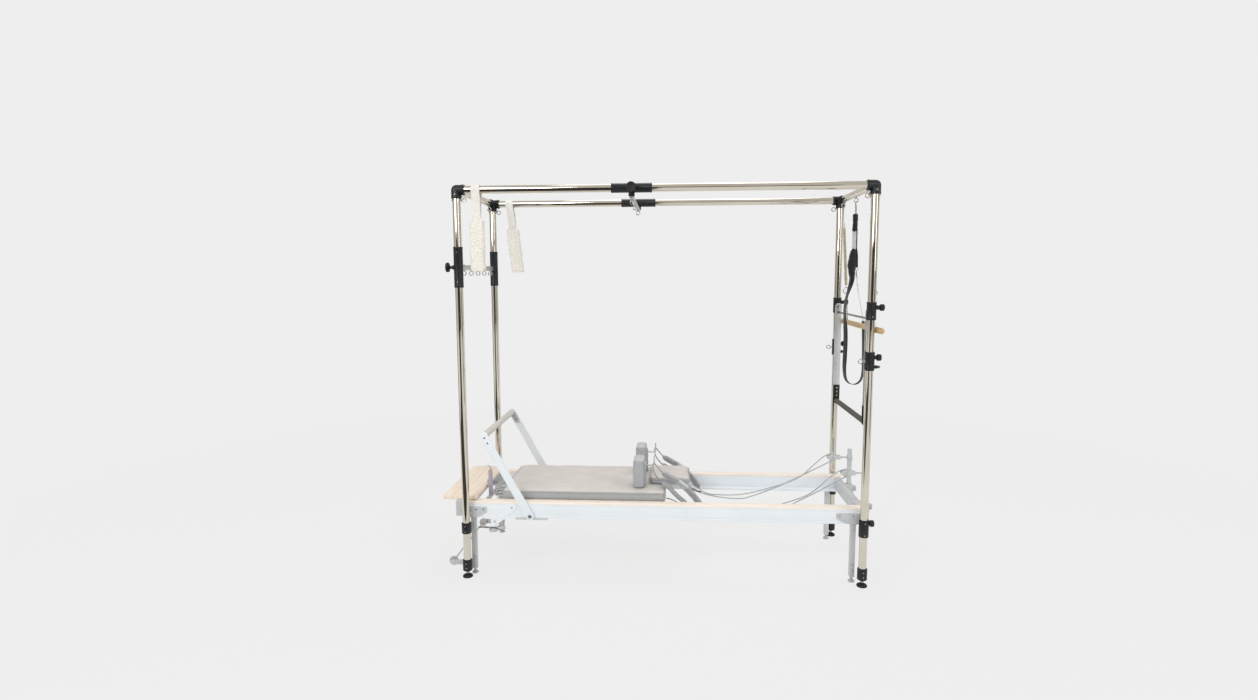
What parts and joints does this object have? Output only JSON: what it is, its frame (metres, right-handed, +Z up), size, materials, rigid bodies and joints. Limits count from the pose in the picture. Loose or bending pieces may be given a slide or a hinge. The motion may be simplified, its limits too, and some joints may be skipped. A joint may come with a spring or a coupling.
{
  "type": "pilates trapeze table",
  "caption": "Chrome four-post trapeze frame round a reformer bed, with sliding cross bars, a push-through bar, a roll-down bar on springs and hanging loops.",
  "frame": {"origin": "on the floor, in the middle of the whole object's box", "axes": "+X along the bed from the footbar toward the push-through bar, +Y across the bed to the side away from the camera, +Z up"},
  "size_m": [2.4704, 0.8672, 2.2005],
  "materials": {
    "chrome": "polished plated tube",
    "cast_black": "satin black coated casting",
    "moulded_black": "moulded knob, fine matte grain",
    "steel": "bright drawn wire and turned pins",
    "aluminium": "satin brushed bar",
    "foam": "dense closed-cell foam grip",
    "fleece": "deep off-white pile on webbing",
    "wood": "clear-coated beech dowel",
    "webbing": "woven strap with a padded sling",
    "bed_white": "pale powder coat",
    "bed_wood": "pale lacquered board",
    "bed_grey": "grey powder coat",
    "bed_upholstery": "soft grained vinyl over foam",
    "bed_metal": "dull zinc-plated steel",
    "bed_rope": "braided cord"
  },
  "bodies": {
    "frame": {"front_left_post": "chrome", "rear_left_post": "chrome", "front_right_post": "chrome", "rear_right_post": "chrome", "front_top_rail": "chrome", "rear_top_rail": "chrome", "left_end_rail": "chrome", "right_end_rail": "chrome", "bed_rail_front": "bed_white", "bed_rail_rear": "bed_white", "foot_beam": "bed_grey", "head_beam": "bed_grey", "standing_platform": "bed_wood", "spring_bar": "bed_metal", "carriage_spring_1": "bed_metal", "carriage_spring_2": "bed_metal", "carriage_spring_3": "bed_metal", "front_rope": "bed_rope", "rear_rope": "bed_rope"},
    "front_left_levelling": {"front_left_foot": "cast_black"},
    "front_right_levelling": {"front_right_foot": "cast_black"},
    "rear_left_levelling": {"rear_left_foot": "cast_black"},
    "rear_right_levelling": {"rear_right_foot": "cast_black"},
    "front_joiner_clamp": {"front_joiner_knob": "moulded_black"},
    "rear_joiner_clamp": {"rear_joiner_knob": "moulded_black"},
    "left_cross_slider": {"left_slider": "cast_black"},
    "left_slider_clamp": {"left_slider_knob": "moulded_black"},
    "canopy": {"canopy_slider": "cast_black"},
    "canopy_clamp": {"canopy_knob": "moulded_black"},
    "push_carriers": {"front_push_carrier": "cast_black", "rear_push_carrier": "cast_black"},
    "front_push_clamp": {"front_push_knob": "moulded_black"},
    "rear_push_clamp": {"rear_push_knob": "moulded_black"},
    "push_bar": {"push_bar_arms": "aluminium", "push_bar_foam": "foam"},
    "front_spring_collar": {"front_collar": "cast_black"},
    "front_collar_clamp": {"front_collar_knob": "moulded_black"},
    "front_index_pin": {"front_collar_pin": "steel"},
    "rear_spring_collar": {"rear_collar": "cast_black"},
    "rear_collar_clamp": {"rear_collar_knob": "moulded_black"},
    "rear_index_pin": {"rear_collar_pin": "steel"},
    "front_fleece": {"front_fleece_loop": "fleece"},
    "rear_fleece": {"rear_fleece_loop": "fleece"},
    "roll_bar_springs": {"front_roll_spring": "steel", "rear_roll_spring": "steel"},
    "roll_bar": {"roll_down_bar": "wood"},
    "strap": {"safety_strap": "webbing"},
    "carriage": {"carriage_frame": "bed_wood", "carriage_pad": "bed_upholstery", "front_shoulder_rest": "bed_upholstery", "rear_shoulder_rest": "bed_upholstery"},
    "headrest_pad": {"headrest": "bed_upholstery"},
    "foot_wheels": {"foot_wheel_set": "bed_grey"},
    "head_wheels": {"head_wheel_set": "bed_grey"},
    "front_sheave": {"front_pulley": "bed_grey"},
    "rear_sheave": {"rear_pulley": "bed_grey"},
    "footbar": {"footbar_arms": "bed_white", "footbar_grip": "foam"},
    "footbar_lock": {"footbar_lever": "bed_metal"},
    "transport_wheel_pair": {"transport_wheels": "bed_grey"}
  },
  "joints": [
    {"name": "front_left_foot_turn", "type": "hinge", "parent": "frame", "child": "front_left_levelling", "pos_m": [-1.08025, -0.36635, 0], "axis": [0, 0, 1], "continuous": true},
    {"name": "front_right_foot_turn", "type": "hinge", "parent": "frame", "child": "front_right_levelling", "pos_m": [1.12975, -0.36635, 0], "axis": [0, 0, 1], "continuous": true},
    {"name": "rear_left_foot_turn", "type": "hinge", "parent": "frame", "child": "rear_left_levelling", "pos_m": [-1.08025, 0.37365, 0], "axis": [0, 0, 1], "continuous": true},
    {"name": "rear_right_foot_turn", "type": "hinge", "parent": "frame", "child": "rear_right_levelling", "pos_m": [1.12975, 0.37365, 0], "axis": [0, 0, 1], "continuous": true},
    {"name": "front_joiner_knob_turn", "type": "hinge", "parent": "frame", "child": "front_joiner_clamp", "pos_m": [1.15975, -0.36635, 0.359], "axis": [1, 0, 0], "continuous": true},
    {"name": "rear_joiner_knob_turn", "type": "hinge", "parent": "frame", "child": "rear_joiner_clamp", "pos_m": [1.15975, 0.37365, 0.359], "axis": [1, 0, 0], "continuous": true},
    {"name": "left_slider_travel", "type": "slide", "parent": "frame", "child": "left_cross_slider", "axis": [0, 0, 1], "range_m": [-1.1, 0.2]},
    {"name": "left_slider_knob_turn", "type": "hinge", "parent": "left_cross_slider", "child": "left_slider_clamp", "pos_m": [-1.12025, -0.36635, 1.757], "axis": [1, 0, 0], "continuous": true},
    {"name": "canopy_travel", "type": "slide", "parent": "frame", "child": "canopy", "axis": [1, 0, 0], "range_m": [-0.62, 1]},
    {"name": "canopy_knob_turn", "type": "hinge", "parent": "canopy", "child": "canopy_clamp", "pos_m": [-0.13525, -0.40635, 2.17], "axis": [0, 1, 0], "continuous": true},
    {"name": "push_carrier_travel", "type": "slide", "parent": "frame", "child": "push_carriers", "axis": [0, 0, 1], "range_m": [-0.08, 0.12], "deforming": ["safety_strap"]},
    {"name": "front_push_knob_turn", "type": "hinge", "parent": "push_carriers", "child": "front_push_clamp", "pos_m": [1.16975, -0.36635, 1.537], "axis": [1, 0, 0], "continuous": true},
    {"name": "rear_push_knob_turn", "type": "hinge", "parent": "push_carriers", "child": "rear_push_clamp", "pos_m": [1.16975, 0.37365, 1.537], "axis": [1, 0, 0], "continuous": true},
    {"name": "push_bar_swing", "type": "hinge", "parent": "push_carriers", "child": "push_bar", "pos_m": [1.12975, 0.00365, 1.51], "axis": [0, 1, 0], "range_deg": [0, 130], "deforming": ["safety_strap"]},
    {"name": "front_collar_travel", "type": "slide", "parent": "frame", "child": "front_spring_collar", "axis": [0, 0, 1], "range_m": [-0.75, 0]},
    {"name": "front_collar_knob_turn", "type": "hinge", "parent": "front_spring_collar", "child": "front_collar_clamp", "pos_m": [1.16475, -0.36635, 1.272], "axis": [1, 0, 0], "continuous": true},
    {"name": "front_collar_pin_pull", "type": "slide", "parent": "front_spring_collar", "child": "front_index_pin", "axis": [1, 0, 0], "range_m": [0, 0.01], "stiffness_N_per_m": 800, "springref_m": -0.006},
    {"name": "rear_collar_travel", "type": "slide", "parent": "frame", "child": "rear_spring_collar", "axis": [0, 0, 1], "range_m": [-0.75, 0]},
    {"name": "rear_collar_knob_turn", "type": "hinge", "parent": "rear_spring_collar", "child": "rear_collar_clamp", "pos_m": [1.16475, 0.37365, 1.272], "axis": [1, 0, 0], "continuous": true},
    {"name": "rear_collar_pin_pull", "type": "slide", "parent": "rear_spring_collar", "child": "rear_index_pin", "axis": [1, 0, 0], "range_m": [0, 0.01], "stiffness_N_per_m": 800, "springref_m": -0.006},
    {"name": "front_fleece_swing", "type": "hinge", "parent": "frame", "child": "front_fleece", "pos_m": [-0.97125, -0.36635, 2.17], "axis": [1, 0, 0], "range_deg": [-60, 60]},
    {"name": "rear_fleece_swing", "type": "hinge", "parent": "frame", "child": "rear_fleece", "pos_m": [-0.96725, 0.37365, 2.17], "axis": [1, 0, 0], "range_deg": [-60, 60]},
    {"name": "roll_bar_swing", "type": "hinge", "parent": "frame", "child": "roll_bar_springs", "pos_m": [1.12975, 0.00365, 2.1253], "axis": [0, -1, 0], "range_deg": [0, 60]},
    {"name": "roll_bar_pull", "type": "slide", "parent": "roll_bar_springs", "child": "roll_bar", "axis": [0.063, 0, -0.998], "range_m": [0, 0.08], "stiffness_N_per_m": 600, "springref_m": -0.03, "deforming": ["front_roll_spring", "rear_roll_spring"]},
    {"name": "safety_strap_swing", "type": "hinge", "parent": "frame", "child": "strap", "pos_m": [1.12975, 0.00365, 2.1253], "axis": [1, 0, 0], "range_deg": [-20, 20]},
    {"name": "carriage_travel", "type": "slide", "parent": "frame", "child": "carriage", "axis": [1, 0, 0], "range_m": [0, 0.75], "stiffness_N_per_m": 300, "springref_m": -0.06, "deforming": ["carriage_spring_1", "carriage_spring_2", "carriage_spring_3", "front_rope", "rear_rope"]},
    {"name": "headrest_tilt", "type": "hinge", "parent": "carriage", "child": "headrest_pad", "pos_m": [-0.05025, 0.00365, 0.4873], "axis": [0, -1, 0], "range_deg": [0, 30]},
    {"name": "foot_wheels_roll", "type": "hinge", "parent": "carriage", "child": "foot_wheels", "pos_m": [-0.74525, 0.00365, 0.3743], "axis": [0, 1, 0], "continuous": true},
    {"name": "head_wheels_roll", "type": "hinge", "parent": "carriage", "child": "head_wheels", "pos_m": [-0.02325, 0.00365, 0.3743], "axis": [0, 1, 0], "continuous": true},
    {"name": "front_pulley_turn", "type": "hinge", "parent": "frame", "child": "front_sheave", "pos_m": [1.07975, -0.16635, 0.582], "axis": [0, 1, 0], "continuous": true},
    {"name": "rear_pulley_turn", "type": "hinge", "parent": "frame", "child": "rear_sheave", "pos_m": [1.07975, 0.17365, 0.582], "axis": [0, 1, 0], "continuous": true},
    {"name": "footbar_swing", "type": "hinge", "parent": "frame", "child": "footbar", "pos_m": [-0.72025, 0.00365, 0.352], "axis": [0, 1, 0], "range_deg": [0, 95]},
    {"name": "footbar_lever_turn", "type": "hinge", "parent": "frame", "child": "footbar_lock", "pos_m": [-0.93025, -0.33985, 0.2845], "axis": [0, 0, 1], "range_deg": [0, 80]},
    {"name": "transport_wheels_roll", "type": "hinge", "parent": "frame", "child": "transport_wheel_pair", "pos_m": [-1.18025, 0.00365, 0.067], "axis": [0, 1, 0], "continuous": true}
  ],
  "couplings": [
    {"joint": "foot_wheels_roll", "follows": "carriage_travel", "rad_per_m": 45.455},
    {"joint": "head_wheels_roll", "follows": "carriage_travel", "rad_per_m": 45.455}
  ]
}
